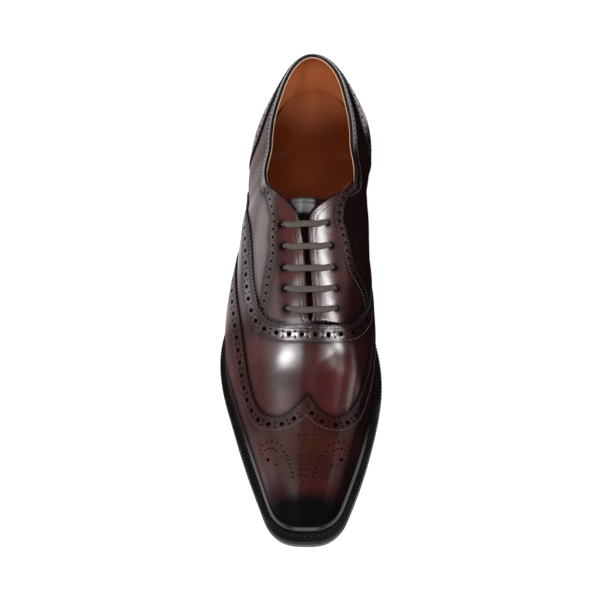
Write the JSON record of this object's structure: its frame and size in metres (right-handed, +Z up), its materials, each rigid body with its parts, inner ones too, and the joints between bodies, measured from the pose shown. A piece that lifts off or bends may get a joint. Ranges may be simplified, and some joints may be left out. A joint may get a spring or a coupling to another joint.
{
  "type": "wingtip oxford shoe",
  "caption": "Closed-laced leather dress shoe, right foot: hollow upper on a lasted form, wing cap, straight lacing, welted leather sole and stacked heel.",
  "frame": {"origin": "middle of the bounding box on the floor that the shoe stands on", "axes": "+Z up, toe towards -Y, heel towards +Y, the wearer's inner (medial) side towards +X"},
  "size_m": [0.1012, 0.3142, 0.0996],
  "materials": {
    "upper_leather": "polished burgundy calf, burnished black at the toe",
    "sole_leather": "waxed black edge",
    "heel_rubber": "matt black rubber",
    "lining_leather": "smooth tan lining leather",
    "lace_cord": "waxed grey-brown round cord"
  },
  "bodies": {
    "root": {"outsole": "sole_leather", "welt": "sole_leather", "heel_stack": "sole_leather", "heel_top_piece": "heel_rubber", "insole": "lining_leather", "upper": "upper_leather", "tongue": "upper_leather", "vamp": "upper_leather", "wing_cap": "upper_leather", "counter": "upper_leather", "collar_band": "upper_leather", "eyestay_lateral": "upper_leather", "eyestay_medial": "upper_leather", "lace_bar_1": "lace_cord", "lace_bar_2": "lace_cord", "lace_bar_3": "lace_cord", "lace_bar_4": "lace_cord", "lace_bar_5": "lace_cord"}
  },
  "joints": []
}
